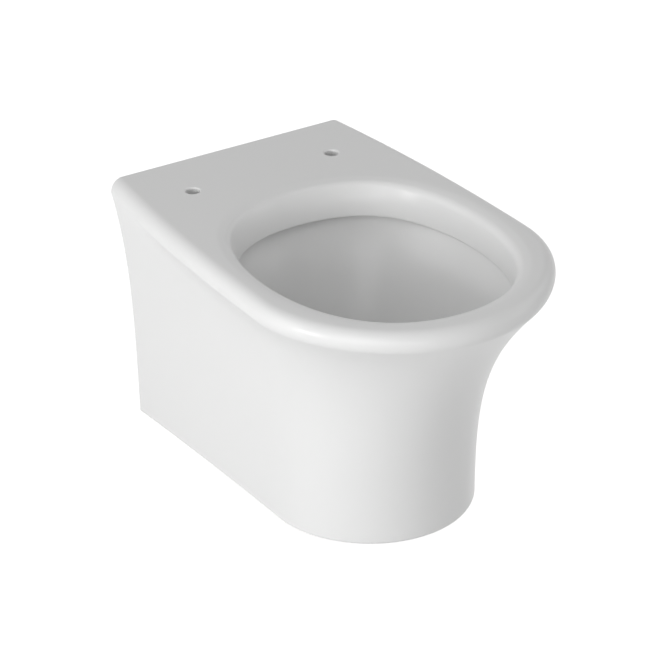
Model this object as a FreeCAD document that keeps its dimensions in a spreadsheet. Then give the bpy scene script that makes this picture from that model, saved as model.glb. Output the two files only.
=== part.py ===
import FreeCAD, Part
import math
import os
import re
import Sketcher

# Wall hung toilet: a flared pan of glazed vitreous china with an open flush rim, and the pieces
# that hang it on the wall and join it to the flush and the drain. Millimetres. The wall is the
# plane y = 0, the pan's nose points to -Y and z is up. The origin lies on the wall, midway
# between the two wall studs.

SIZES = {
    # Outside of the pan: levels, widths and reaches from the wall. A tilt is the angle off plumb
    # at which the flared skin runs into the rounding of the rim.
    "rim_top": 80,
    "pan_height": 313,
    "rim_rear_width": 315,
    "rim_side_width": 360,
    "rim_widest_reach": 328,
    "rim_nose_reach": 520,
    "foot_rear_width": 256,
    "foot_side_width": 242,
    "foot_widest_reach": 294,
    "foot_nose_reach": 419,
    "rear_tilt": 14.5,
    "side_tilt": 42,
    "nose_tilt": 40,
    "rear_lean": 0.33,
    "nose_fullness": 0.5523,
    "rim_round": 15,
    "foot_round": 4,
    # Walls of the casting, and the level where the rim meets the bowl and the skirt
    "joint_level": -18,
    "back_stock": 0.5,
    "skirt_wall": 8,
    "rear_wall": 14,
    "deck_wall": 14,
    "bowl_wall": 7,
    "rim_depth": 70,
    "deck_space_reach": 98,
    # Mouth, hanging flush lip and bowl
    "side_land": 41.5,
    "nose_land": 46.5,
    "mouth_rear_reach": 138.7,
    "mouth_middle_share": 0.45,
    "mouth_fullness": 0.63,
    "mouth_round": 20,
    "lip_drop": 45,
    "lip_wall": 5,
    "lip_round": 2,
    "rim_roof": 22,
    "channel_flare": 7,
    "side_slot": 3,
    "rear_slot": 5,
    "nose_slot": 5,
    "side_fall": 0.85,
    "rear_fall": 0.9,
    "nose_fall": 1.04,
    # Trap under the bowl
    "sump_level": -191,
    "sump_reach": 277,
    "sump_swell": 2,
    "trap_bore": 28,
    "trap_wall": 9,
    "trap_bend": 55,
    "trap_run": 42,
    "trap_rise": 70,
    "weir_level": -84,
    # Drain spigot, and the arch in the rear wall round it
    "drain_level": -100,
    "spigot_radius": 51,
    "spigot_bore": 42,
    "spigot_set_back": 5,
    "spigot_length": 45,
    "arch_radius": 68,
    # Flush inlet, and the duct from it to the channel behind the lip
    "inlet_level": 35,
    "inlet_radius": 27.5,
    "inlet_depth": 45,
    "inlet_wall": 9,
    "duct_radius": 19,
    "duct_width": 68,
    "duct_height": 16,
    "duct_margin": 2,
    # Holes for a seat's hinges and for the wall studs
    "seat_hole_radius": 7.5,
    "seat_hole_spread": 187,
    "seat_hole_reach": 75.5,
    "seat_hole_round": 2,
    "stud_spread": 180,
    "stud_hole_radius": 11,
    # Wall studs and what each of them carries, from the rear wall to the nut
    "stud_radius": 6,
    "stud_back": 50,
    "stud_point": 1.5,
    "stud_past_nut": 8,
    "shank_radius": 5.4,
    "shank_front": 12,
    "shank_back": 4,
    "seat_gap": 0.05,
    "sleeve_gap": 0.2,
    "sleeve_set_back": 1,
    "flange_radius": 17,
    "flange_thick": 3,
    "cushion_radius": 18,
    "cushion_thick": 2,
    "washer_radius": 16,
    "washer_thick": 2.5,
    "nut_flat": 9,
    "nut_height": 10.8,
    "nut_bevel": 1.8,
    # Flush pipe and its seal in the inlet
    "pipe_radius": 22.5,
    "pipe_wall": 2,
    "pipe_in": 32,
    "pipe_out": 30,
    "pipe_bevel": 1,
    "stop_front": 2,
    "stop_width": 2,
    "stop_height": 1.5,
    "slip_gap": 0.05,
    "seal_in": 36,
    "seal_out": 3,
    "seal_rib": 1.4,
    # Drain connector, with a socket over the spigot, and its lipped seal
    "drain_radius": 45,
    "drain_wall": 3.5,
    "drain_back": 95,
    "socket_gap": 1.2,
    "socket_wall": 4,
    "socket_cover": 39,
    "socket_stop": 8,
    "groove_depth": 5,
    "groove_length": 18,
    "groove_front": 4,
    "drain_seal_lip": 2,
}

# Places round the roundings of the foot and the rim, in degrees, and shares of the pan's height
# and of the bowl's depth, at which the outlines are drawn.
FOOT_ANGLES = (0, 45, 90)
RIM_ANGLES = (-45, 0, 30, 60, 90)
SKIN_SHARES = (0.25, 0.45, 0.6, 0.72, 0.82, 0.88)
HOLLOW_SHARES = (0.03, 0.25, 0.5, 0.65)
BOWL_SHARES = (0.1, 0.25, 0.45, 0.65, 0.85, 1)
# Pull of the poles that makes a quarter of a drawn curve round
ROUND = 0.5523

doc = FreeCAD.newDocument("wall_hung_toilet")
sheet = doc.addObject("Spreadsheet::Sheet", "sizes")
for row, (name, number) in enumerate(SIZES.items(), 1):
    sheet.set("A%d" % row, name)
    sheet.set("B%d" % row, str(number))
    sheet.setAlias("B%d" % row, name)
gauge = doc.addObject("App::FeaturePython", "gauge")
doc.recompute()


def tied(text):
    """An expression with the sheet's name put before the name of each size."""
    return re.sub(r"[a-z_]+", lambda word: "sizes." + word[0] if word[0] in SIZES else word[0], text)


def worth(text):
    """The number that an expression over the sizes comes to."""
    return float(gauge.evalExpression(tied(text)))


def spot(across, along):
    """A point of a sketch from two expressions."""
    return FreeCAD.Vector(worth(across), worth(along), 0)


def new_body(label):
    """An empty body, whose label names its file."""
    body = doc.addObject("PartDesign::Body", label)
    body.Label = label
    return body


def origin_plane(body, role):
    """One of a body's own origin planes."""
    return next(item for item in body.Origin.OriginFeatures if item.Role == role)


def new_sketch(body, name, role, shift=("0", "0", "0")):
    """A sketch on an origin plane of its body, shifted in the plane and along its normal."""
    sketch = body.newObject("Sketcher::SketchObject", name)
    sketch.AttachmentSupport = (origin_plane(body, role), [""])
    sketch.MapMode = "FlatFace"
    for axis, text in zip("xyz", shift):
        sketch.setExpression("AttachmentOffset.Base." + axis, tied(text))
    return sketch


def measure(sketch, constraint, text):
    """Add a constraint and tie its size to an expression."""
    mark = sketch.addConstraint(constraint)
    sketch.setExpression("Constraints[%d]" % mark, tied(text))


def join(sketch, one, one_end, other, other_end):
    """Make two ends meet."""
    sketch.addConstraint(Sketcher.Constraint("Coincident", one, one_end, other, other_end))


def hold(sketch, item, point, across, along):
    """Tie one point of a sketch to two expressions, measured from the sketch's origin."""
    for kind, axis, text in (("DistanceX", -2, across), ("DistanceY", -1, along)):
        if text == "0":
            sketch.addConstraint(Sketcher.Constraint("PointOnObject", item, point, axis))
        else:
            measure(sketch, Sketcher.Constraint(kind, -1, 1, item, point, worth(text)), text)


def opposite(text):
    """The same expression on the other side of zero."""
    return "0" if text == "0" else "-(%s)" % text


def ring(sketch, across, along, radius):
    """A circle, tied by its centre and its radius."""
    circle = Part.Circle(spot(across, along), FreeCAD.Vector(0, 0, 1), worth(radius))
    item = sketch.addGeometry(circle, False)
    measure(sketch, Sketcher.Constraint("Radius", item, worth(radius)), radius)
    hold(sketch, item, 3, across, along)


def arc(sketch, centre, radius, first, last):
    """An arc of a circle between two angles."""
    circle = Part.Circle(centre, FreeCAD.Vector(0, 0, 1), radius)
    return sketch.addGeometry(Part.ArcOfCircle(circle, first, last), False)


def polygon(sketch, points):
    """A closed run of straight lines through points that are each tied to two expressions."""
    spots = [spot(*point) for point in points]
    lines = []
    for start, end in zip(spots, spots[1:] + spots[:1]):
        lines.append(sketch.addGeometry(Part.LineSegment(start, end), False))
    for line, following in zip(lines, lines[1:] + lines[:1]):
        join(sketch, line, 2, following, 1)
    for line, point in zip(lines, points):
        hold(sketch, line, 1, *point)


def mirrored_curve(sketch, half, knots, flat_back):
    """One smooth curve through both sides of an outline, drawn by five poles a side. It starts
    and ends on the middle line, or at a straight back."""
    right = [spot(*pole) for pole in half]
    left = [FreeCAD.Vector(-pole.x, pole.y, 0) for pole in reversed(right)]
    curve = Part.BSplineCurve()
    curve.buildFromPolesMultsKnots(right + left, [4, 2, 2, 2, 4], knots, False, 3)
    sketch.addGeometry(curve, False)
    if flat_back:
        sketch.addGeometry(Part.LineSegment(left[-1], right[0]), False)
        join(sketch, 0, 2, 1, 1)
        join(sketch, 1, 2, 0, 1)
    sketch.exposeInternalGeometry(0)
    poles = [item for item, shape in enumerate(sketch.Geometry) if isinstance(shape, Part.Circle)]
    for item, (across, along) in zip(poles, half):
        hold(sketch, item, 3, across, along)
    for item, (across, along) in zip(reversed(poles), half):
        hold(sketch, item, 3, opposite(across), along)


def egg(sketch, half_width, back, middle, front, fullness):
    """A closed egg: its half width, and its back, middle and front along the sketch's y."""
    shoulder = "(%s) + (%s) * ((%s) - (%s))"
    mirrored_curve(sketch, [
        ("0", back),
        ("(%s) * (%s)" % (fullness, half_width), back),
        (half_width, shoulder % (middle, fullness, back, middle)),
        (half_width, shoulder % (middle, fullness, front, middle)),
        ("(%s) * (%s)" % (fullness, half_width), front),
    ], [0, 1, 2, 3, 4], False)


def loft(body, kind, name, sections):
    """A smooth loft through sketches."""
    feature = body.newObject("PartDesign::" + kind, name)
    feature.Profile = sections[0]
    feature.Sections = sections[1:]
    feature.Ruled = False
    doc.recompute()


def pad(body, name, sketch, length, reverse):
    """A straight pad, forwards or backwards from its sketch."""
    feature = body.newObject("PartDesign::Pad", name)
    feature.Profile = sketch
    feature.setExpression("Length", tied(length))
    feature.Reversed = reverse
    doc.recompute()


def pocket(body, name, sketch, length, reverse):
    """A straight pocket, forwards or backwards from its sketch."""
    feature = body.newObject("PartDesign::Pocket", name)
    feature.Profile = sketch
    feature.setExpression("Length", tied(length))
    feature.Reversed = reverse
    doc.recompute()


def turned(body, kind, name, across, level, profile):
    """A closed profile of places along Y and radii, turned round an axis along Y."""
    sketch = new_sketch(body, name + "_profile", "YZ_Plane", ("0", level, across))
    polygon(sketch, profile)
    feature = body.newObject("PartDesign::" + kind, name)
    feature.Profile = sketch
    feature.ReferenceAxis = (sketch, ["H_Axis"])
    feature.Angle = 360
    doc.recompute()


def rounded(body, name, test, radius):
    """A fillet on those edges of the body's last feature that pass a test."""
    base = body.Tip
    edges = ["Edge%d" % (item + 1) for item, edge in enumerate(base.Shape.Edges) if test(edge)]
    feature = body.newObject("PartDesign::Fillet", name)
    feature.Base = (base, edges)
    feature.setExpression("Radius", tied(radius))
    doc.recompute()


# Pan of glazed china. It is cast in three members that are stuck together before it is fired:
# the rim with its deck, the bowl with its trap, and the skirt. The members meet in one level
# plane. The outside flares from a D-shaped foot to a flat rim with a soft round edge.
rim = new_body("pan_rim")
bowl = new_body("pan_bowl")
skirt = new_body("pan_skirt")


def reach(part, height):
    """How far the skin stands out at a height over the foot. It leaves the foot by a small round,
    follows a power curve that runs at its tilt into the round of the rim, and ends on that."""
    word = {"rear": "rear_width / 2", "side": "side_width / 2", "nose": "nose_reach"}[part]
    foot, edge = "foot_" + word, "rim_" + word
    lean = "rear_lean" if part == "rear" else "0"
    tilt = math.radians(worth(part + "_tilt"))
    end_height = "(pan_height - rim_round * %.9f)" % (1 + math.sin(tilt))
    end_reach = "(%s - rim_round * %.9f)" % (edge, 1 - math.cos(tilt))
    if worth(height) > worth(end_height):
        over = "(%s - pan_height + rim_round)" % height
        return "(%s - rim_round + sqrt(abs(rim_round ^ 2 - %s ^ 2)))" % (edge, over)
    rise = math.tan(tilt) * worth(end_height) / worth("%s - %s" % (end_reach, foot))
    power = (rise - worth(lean)) / (1 - worth(lean))
    share = "((%s) / %s)" % (height, end_height)
    curve = "((1 - %s) * %s ^ %.9f + %s * %s)" % (lean, share, power, lean, share)
    flare = "%s + (%s - %s) * %s" % (foot, end_reach, foot, curve)
    if worth(height) > worth("foot_round"):
        return "(%s)" % flare
    return "(%s - foot_round + sqrt(abs(foot_round ^ 2 - (foot_round - %s) ^ 2)))" % (flare, height)


def d_outline(body, name, height, wall, back, drop="0"):
    """The D-shaped outline at a height over the foot, drawn in by a wall and set lower by a drop."""
    rear, side, nose = ("(%s - %s)" % (reach(part, height), wall) for part in ("rear", "side", "nose"))
    growth = "(rim_widest_reach - foot_widest_reach) * ((%s) / pan_height) ^ 4" % height
    widest = "(foot_widest_reach + %s)" % growth
    level = "rim_top - pan_height + %s - %s" % (height, drop)
    sketch = new_sketch(body, name, "XY_Plane", ("0", "0", level))
    mirrored_curve(sketch, [
        (rear, back),
        ("%s + (%s - %s) * 2 / 3" % (rear, side, rear), "-%s / 3" % widest),
        (side, "-%s * 2 / 3" % widest),
        (side, "-%s - nose_fullness * (%s - %s)" % (widest, nose, widest)),
        ("nose_fullness * %s" % side, "-%s" % nose),
    ], [0, 1.6, 2.6, 3.6, 5.2], True)
    return sketch


def block(body, name, plane, shift, corners):
    """A sketch of a plain outline, straight from corner to corner."""
    sketch = new_sketch(body, name, plane, shift)
    polygon(sketch, corners)
    return sketch


def shell(body):
    """The flared skin, ground flat at the back, less the hollow under the rim."""
    heights = ["foot_round * %.9f" % (1 - math.cos(math.radians(angle))) for angle in FOOT_ANGLES]
    heights += ["pan_height * %g" % share for share in SKIN_SHARES]
    for angle in RIM_ANGLES:
        heights.append("pan_height - rim_round * %.9f" % (1 - math.sin(math.radians(angle))))
    outlines = [d_outline(body, "skin_%d" % index, height, "0", "back_stock")
                for index, height in enumerate(heights)]
    loft(body, "AdditiveLoft", body.Label + "_skin", outlines)
    behind = block(body, "back_plan", "XZ_Plane", ("0", "0", "0"), [
        ("rim_rear_width", "rim_top + rim_round"),
        ("-rim_rear_width", "rim_top + rim_round"),
        ("-rim_rear_width", "rim_top - pan_height - rim_round"),
        ("rim_rear_width", "rim_top - pan_height - rim_round"),
    ])
    pocket(body, body.Label + "_back", behind, "2 * back_stock", False)
    outlines = [d_outline(body, "hollow_foot", "foot_round", "skirt_wall", "-rear_wall", "2 * foot_round")]
    for index, share in enumerate(HOLLOW_SHARES):
        height = "pan_height * %g" % share
        outlines.append(d_outline(body, "hollow_%d" % index, height, "skirt_wall", "-rear_wall"))
    outlines.append(d_outline(body, "hollow_top", "pan_height - rim_depth", "skirt_wall", "-rear_wall"))
    loft(body, "SubtractiveLoft", body.Label + "_hollow", outlines)


def trim(body, upper):
    """Cut a member off at the joint level, above it or below it."""
    plan = block(body, "joint_plan", "XY_Plane", ("0", "0", "joint_level"), [
        ("rim_side_width", "rear_wall"),
        ("rim_side_width", "-rim_nose_reach - rim_round"),
        ("-rim_side_width", "-rim_nose_reach - rim_round"),
        ("-rim_side_width", "rear_wall"),
    ])
    pocket(body, body.Label + "_joint", plan, "pan_height", upper)


# Bowl: eggs that narrow from the flush slot to a round sump. The mouth keeps a flat land to the
# outer edge of the rim, and is widest at a share of the way from its rear to its nose.
mouth_half = "(rim_side_width / 2 - side_land)"
mouth_nose = "(rim_nose_reach - nose_land)"
mouth_middle = "(mouth_rear_reach + mouth_middle_share * (%s - mouth_rear_reach))" % mouth_nose
slot_half = "(%s + lip_wall + side_slot)" % mouth_half
slot_rear = "(mouth_rear_reach - lip_wall - rear_slot)"
slot_nose = "(%s + lip_wall + nose_slot)" % mouth_nose


def bowl_outline(body, name, share, wall):
    """An egg of the bowl at a share of the way from the flush slot to the sump, let out by a wall."""
    law = "(%s + (%s - %s) * (1 - %g ^ %s))"
    half = law % ("trap_bore", slot_half, "trap_bore", share, "side_fall")
    back = law % ("(sump_reach - trap_bore)", slot_rear, "(sump_reach - trap_bore)", share, "rear_fall")
    front = law % ("(sump_reach + trap_bore)", slot_nose, "(sump_reach + trap_bore)", share, "nose_fall")
    middle = "(%s + (sump_reach - %s) * %g)" % (mouth_middle, mouth_middle, share)
    fullness = "(mouth_fullness + (%g - mouth_fullness) * %g)" % (ROUND, share)
    level = "rim_top - lip_drop + (sump_level - rim_top + lip_drop) * %g" % share
    sketch = new_sketch(body, name, "XY_Plane", ("0", "0", level))
    egg(sketch, "(%s + %s)" % (half, wall), "-(%s - %s)" % (back, wall), "-" + middle,
        "-(%s + %s)" % (front, wall), fullness)
    return sketch


def bowl_outside(body):
    """The outside of the bowl, added to a member."""
    outlines = [bowl_outline(body, "bowl_out_%d" % (100 * share), share, "bowl_wall")
                for share in BOWL_SHARES]
    loft(body, "AdditiveLoft", body.Label + "_bowl", outlines)


channel_rear = "(%s - channel_flare)" % slot_rear


def bowl_inside(body):
    """The inside of the bowl, with the flush channel over it, taken out of a member."""
    channel_top = new_sketch(body, "channel_top", "XY_Plane", ("0", "0", "rim_top - rim_roof"))
    egg(channel_top, slot_half + " + channel_flare", "-" + channel_rear, "-" + mouth_middle,
        "-(%s + channel_flare)" % slot_nose, "mouth_fullness")
    outlines = [channel_top, bowl_outline(body, "bowl_in_0", 0, "0")]
    outlines += [bowl_outline(body, "bowl_in_%d" % (100 * share), share, "0") for share in BOWL_SHARES]
    loft(body, "SubtractiveLoft", body.Label + "_inside", outlines)


# Skirt: the lower part of the skin, with an arch in the rear wall round the drain, open below.
shell(skirt)
below_foot = "rim_top - pan_height - foot_round"
arch_plan = new_sketch(skirt, "arch_plan", "XZ_Plane")
arc(arch_plan, spot("0", "drain_level"), worth("arch_radius"), 0, math.pi)
corners = [("-arch_radius", "drain_level"), ("-arch_radius", below_foot),
           ("arch_radius", below_foot), ("arch_radius", "drain_level")]
for start, end in zip(corners, corners[1:]):
    line = arch_plan.addGeometry(Part.LineSegment(spot(*start), spot(*end)), False)
    join(arch_plan, line - 1, 2, line, 1)
join(arch_plan, 3, 2, 0, 1)
hold(arch_plan, 0, 3, "0", "drain_level")
hold(arch_plan, 0, 1, "arch_radius", "drain_level")
arch_plan.addConstraint(Sketcher.Constraint("Horizontal", 0, 1, 0, 2))
hold(arch_plan, 2, 1, *corners[1])
hold(arch_plan, 2, 2, *corners[2])
pocket(skirt, "arch", arch_plan, "2 * rear_wall", True)
trim(skirt, True)

# Trap: a round pipe from the sump over the weir to the drain. Its line runs along the sump, bends
# up the rise, bends over the weir and bends level again at the drain, with one bend radius.
bend, rise = worth("trap_bend"), math.radians(worth("trap_rise"))
start = spot("-sump_reach", "sump_level")
turn = spot("trap_run - sump_reach", "sump_level")
foot = turn + FreeCAD.Vector(bend * math.sin(rise), bend * (1 - math.cos(rise)), 0)
climb = worth("weir_level") - bend * (1 - math.cos(rise)) - foot.y
head = foot + FreeCAD.Vector(climb / math.tan(rise), climb, 0)
over = FreeCAD.Vector(head.x + bend * math.sin(rise), worth("weir_level") - bend, 0)
fall = math.acos(1 - worth("weir_level - drain_level") / (2 * bend))
under = over + FreeCAD.Vector(2 * bend * math.sin(fall), 2 * bend * math.cos(fall), 0)
level = FreeCAD.Vector(under.x, worth("drain_level"), 0)
trap_line = new_sketch(bowl, "trap_line", "YZ_Plane")
trap_line.addGeometry(Part.LineSegment(start, turn), False)
arc(trap_line, turn + FreeCAD.Vector(0, bend, 0), bend, -math.pi / 2, rise - math.pi / 2)
trap_line.addGeometry(Part.LineSegment(foot, head), False)
arc(trap_line, over, bend, math.pi / 2 - fall, math.pi / 2 + rise)
arc(trap_line, under, bend, 3 * math.pi / 2 - fall, 3 * math.pi / 2)
spigot_end = spot("-(spigot_set_back + spigot_length - trap_wall)", "drain_level")
trap_line.addGeometry(Part.LineSegment(level, spigot_end), False)
doc.recompute()


def trap(kind, name, radius):
    """A round pipe along the trap's line."""
    sketch = new_sketch(bowl, name + "_ring", "XZ_Plane", ("0", "0", "sump_reach"))
    ring(sketch, "0", "sump_level", radius)
    feature = bowl.newObject("PartDesign::" + kind, name)
    feature.Profile = sketch
    feature.Spine = trap_line
    doc.recompute()


def ball(kind, name, radius):
    """A ball at the bottom of the bowl, where the trap starts."""
    feature = bowl.newObject("PartDesign::" + kind, name)
    feature.AttachmentSupport = (origin_plane(bowl, "XY_Plane"), [""])
    feature.MapMode = "FlatFace"
    feature.setExpression("AttachmentOffset.Base.y", tied("-sump_reach"))
    feature.setExpression("AttachmentOffset.Base.z", tied("sump_level"))
    feature.setExpression("Radius", tied(radius))
    doc.recompute()


# Bowl with its trap, which ends in a plain round spigot for the drain.
spigot_foot = "-(spigot_set_back + spigot_length)"
taper_foot = "-(spigot_set_back + spigot_length + spigot_bore - trap_bore)"
bowl_outside(bowl)
trap("AdditivePipe", "trap_outside", "trap_bore + trap_wall")
ball("AdditiveSphere", "sump_outside", "trap_bore + sump_swell + trap_wall")
turned(bowl, "Revolution", "spigot", "0", "drain_level", [
    ("-spigot_set_back", "0"),
    ("-spigot_set_back", "spigot_radius"),
    (spigot_foot, "spigot_radius"),
    (taper_foot, "trap_bore + trap_wall / 2"),
    (taper_foot, "0"),
])
trim(bowl, True)
bowl_inside(bowl)
ball("SubtractiveSphere", "sump_inside", "trap_bore + sump_swell")
trap("SubtractivePipe", "trap_inside", "trap_bore")
turned(bowl, "Groove", "spigot_inside", "0", "drain_level", [
    ("spigot_set_back", "0"),
    ("spigot_set_back", "spigot_bore"),
    (spigot_foot, "spigot_bore"),
    (taper_foot, "trap_bore - trap_wall / 2"),
    (taper_foot, "0"),
])

def upright_egg(name, place, half_width, level, half_height):
    """A closed egg on a plane parallel to the wall, at a place in front of it."""
    sketch = new_sketch(rim, name, "XZ_Plane", ("0", "0", place))
    egg(sketch, half_width, "%s + %s" % (level, half_height), level,
        "%s - (%s)" % (level, half_height), "%g" % ROUND)
    return sketch


def mouth_outline(name, level, wall):
    """The mouth's egg at a level, let out by a wall."""
    sketch = new_sketch(rim, name, "XY_Plane", ("0", "0", level))
    egg(sketch, "%s + %s" % (mouth_half, wall), "-(mouth_rear_reach - %s)" % wall, "-" + mouth_middle,
        "-(%s + %s)" % (mouth_nose, wall), "mouth_fullness")
    return sketch


def level_loop(level, width):
    """A test for an edge that lies flat at a level and is as wide as given."""
    def test(edge):
        box = edge.BoundBox
        flat = box.ZLength < 0.01 and abs(box.ZMin - worth(level)) < 0.01
        return flat and abs(box.XLength - worth(width)) < 1
    return test


# Rim: the top of the skin with the mouth's soft edge, and room under the deck for the hands that
# tighten the nuts. The lip starts halfway between the foot of that edge and the channel's roof.
shell(rim)
mouth_floor = "(mouth_round + (rim_roof - mouth_round) / 4)"
lip_top = "(mouth_round + (rim_roof - mouth_round) / 2)"
pocket(rim, "mouth_top", mouth_outline("mouth_top_plan", "rim_top", "0"), mouth_floor, False)
rounded(rim, "mouth_edge", level_loop("rim_top", "2 * " + mouth_half), "mouth_round")
room_half = "(%s - skirt_wall)" % reach("side", "(pan_height - rim_depth - rear_wall)")
deck_plan = block(rim, "deck_plan", "XY_Plane", ("0", "0", "rim_top - rim_depth - rear_wall"), [
    (room_half, "-rear_wall"),
    (room_half, "-deck_space_reach"),
    (opposite(room_half), "-deck_space_reach"),
    (opposite(room_half), "-rear_wall"),
])
pocket(rim, "deck_space", deck_plan, "rim_depth + rear_wall - deck_wall", True)
bowl_outside(rim)
trim(rim, False)


# Flush horn from the inlet to the channel, then the channel, the hanging lip and the mouth.
duct_level = "(rim_top - rim_roof - duct_height / 2 - duct_margin)"
loft(rim, "AdditiveLoft", "horn", [
    upright_egg("horn_start", "rear_wall / 2", "inlet_radius + inlet_wall",
                "inlet_level", "inlet_radius + inlet_wall"),
    upright_egg("horn_end", channel_rear + " - duct_margin", "duct_width / 2 + inlet_wall",
                duct_level, "duct_height / 2 + inlet_wall"),
])
bowl_inside(rim)
pad(rim, "lip", mouth_outline("lip_plan", "rim_top - " + lip_top, "lip_wall"),
    "lip_drop - " + lip_top, True)
pocket(rim, "mouth", mouth_outline("mouth_plan", "rim_top - " + mouth_floor, "0"),
       "lip_drop + lip_wall - " + mouth_floor, False)
rounded(rim, "lip_edge", level_loop("rim_top - lip_drop", "2 * " + mouth_half), "lip_round")
inlet_ring = new_sketch(rim, "inlet_ring", "XZ_Plane")
ring(inlet_ring, "0", "inlet_level", "inlet_radius")
pocket(rim, "inlet", inlet_ring, "inlet_depth", True)
loft(rim, "SubtractiveLoft", "duct", [
    upright_egg("duct_start", "inlet_depth - duct_margin", "duct_radius", "inlet_level", "duct_radius"),
    upright_egg("duct_end", "mouth_rear_reach - lip_wall - duct_margin", "duct_width / 2",
                duct_level, "duct_height / 2"),
])

# Holes for a seat's hinges through the deck, and for the wall studs through the rear wall.
seat_rings = new_sketch(rim, "seat_rings", "XY_Plane", ("0", "0", "rim_top"))
stud_rings = new_sketch(rim, "stud_rings", "XZ_Plane")
for sign in ("-", ""):
    ring(seat_rings, sign + "seat_hole_spread / 2", "-seat_hole_reach", "seat_hole_radius")
    ring(stud_rings, sign + "stud_spread / 2", "0", "stud_hole_radius")
pocket(rim, "seat_holes", seat_rings, "2 * deck_wall", False)
pocket(rim, "stud_holes", stud_rings, "2 * rear_wall", True)


rounded(rim, "seat_edges", level_loop("rim_top", "2 * seat_hole_radius"), "seat_hole_round")

# Wall studs: steel rods with a 12 mm thread rolled on each end and a thinner shank between, which
# stand out of the wall through the rear wall of the pan. Each carries a rubber cushion, a plastic
# sleeve with a flange, a steel washer and a nut.
cushion_front = "(rear_wall + seat_gap)"
cushion_end = "(rear_wall + seat_gap + cushion_thick)"
flange_front = "(%s + seat_gap)" % cushion_end
flange_end = "(%s + seat_gap + flange_thick)" % cushion_end
washer_front = "(%s + seat_gap)" % flange_end
washer_end = "(%s + seat_gap + washer_thick)" % flange_end
nut_front = "(%s + seat_gap)" % washer_end
nut_end = "(%s + seat_gap + nut_height)" % washer_end
stud_tip = "-(%s + stud_past_nut)" % nut_end
shank_step = "(stud_radius - shank_radius)"
stud_bore = "stud_radius + sleeve_gap"
sleeve_radius = "stud_hole_radius - sleeve_gap"
corner = "nut_flat / cos(30)"
for side, sign in (("left", "-"), ("right", "")):
    place = sign + "stud_spread / 2"
    stud = new_body(side + "_stud")
    turned(stud, "Revolution", side + "_rod", place, "0", [
        ("stud_back", "0"),
        ("stud_back", "stud_radius - stud_point"),
        ("stud_back - stud_point", "stud_radius"),
        ("shank_back + " + shank_step, "stud_radius"),
        ("shank_back", "shank_radius"),
        ("-shank_front", "shank_radius"),
        ("-shank_front - " + shank_step, "stud_radius"),
        (stud_tip + " + stud_point", "stud_radius"),
        (stud_tip, "stud_radius - stud_point"),
        (stud_tip, "0"),
    ])
    cushion = new_body(side + "_cushion")
    turned(cushion, "Revolution", side + "_pad", place, "0", [
        ("-" + cushion_front, "stud_hole_radius"),
        ("-" + cushion_front, "cushion_radius"),
        ("-" + cushion_end, "cushion_radius"),
        ("-" + cushion_end, "stud_hole_radius"),
    ])
    sleeve = new_body(side + "_sleeve")
    turned(sleeve, "Revolution", side + "_bush", place, "0", [
        ("-sleeve_set_back", stud_bore),
        ("-sleeve_set_back", sleeve_radius),
        ("-" + flange_front, sleeve_radius),
        ("-" + flange_front, "flange_radius"),
        ("-" + flange_end, "flange_radius"),
        ("-" + flange_end, stud_bore),
    ])
    washer = new_body(side + "_washer")
    turned(washer, "Revolution", side + "_disc", place, "0", [
        ("-" + washer_front, stud_bore),
        ("-" + washer_front, "washer_radius"),
        ("-" + washer_end, "washer_radius"),
        ("-" + washer_end, stud_bore),
    ])
    nut = new_body(side + "_nut")
    hexagon = new_sketch(nut, side + "_hexagon", "XZ_Plane", (place, "0", nut_front))
    polygon(hexagon, [
        (corner, "0"),
        (corner + " / 2", "nut_flat"),
        ("-%s / 2" % corner, "nut_flat"),
        ("-" + corner, "0"),
        ("-%s / 2" % corner, "-nut_flat"),
        (corner + " / 2", "-nut_flat"),
    ])
    pad(nut, side + "_hex", hexagon, "nut_height", False)
    thread = new_sketch(nut, side + "_thread", "XZ_Plane", (place, "0", nut_front))
    ring(thread, "0", "0", "stud_radius + slip_gap")
    pocket(nut, side + "_nut_bore", thread, "nut_height", True)
    for end, face, inwards in (("tip", nut_end, "+"), ("seat", nut_front, "-")):
        turned(nut, "Groove", side + "_%s_bevel" % end, place, "0", [
            ("-" + face, "nut_flat"),
            ("-" + face, corner + " + nut_bevel"),
            ("-%s %s nut_bevel" % (face, inwards), corner + " + nut_bevel"),
        ])

# Flush pipe: a plastic tube that pushes into a ribbed rubber seal in the pan's inlet, up to a
# moulded stop ring.
flush_pipe = new_body("flush_pipe")
turned(flush_pipe, "Revolution", "flush_tube", "0", "inlet_level", [
    ("-pipe_in", "pipe_radius - pipe_wall"),
    ("-pipe_in", "pipe_radius - pipe_bevel"),
    ("-pipe_in + 2 * pipe_bevel", "pipe_radius"),
    ("stop_front", "pipe_radius"),
    ("stop_front", "pipe_radius + stop_height"),
    ("stop_front + stop_width", "pipe_radius + stop_height"),
    ("stop_front + stop_width", "pipe_radius"),
    ("pipe_out - pipe_bevel", "pipe_radius"),
    ("pipe_out", "pipe_radius - pipe_bevel / 2"),
    ("pipe_out", "pipe_radius - pipe_wall"),
])
flush_seal = new_body("flush_seal")
outer_ribs, inner_ribs = [], []
for step in range(7):
    place = "-seal_out - (seal_in - seal_out) * %d / 6" % step
    valley = "seal_rib * %d" % (step % 2)
    outer_ribs.append((place, "inlet_radius - seat_gap - " + valley))
    inner_ribs.append((place, "pipe_radius + slip_gap + " + valley))
turned(flush_seal, "Revolution", "flush_collar", "0", "inlet_level", outer_ribs + inner_ribs[::-1])

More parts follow.
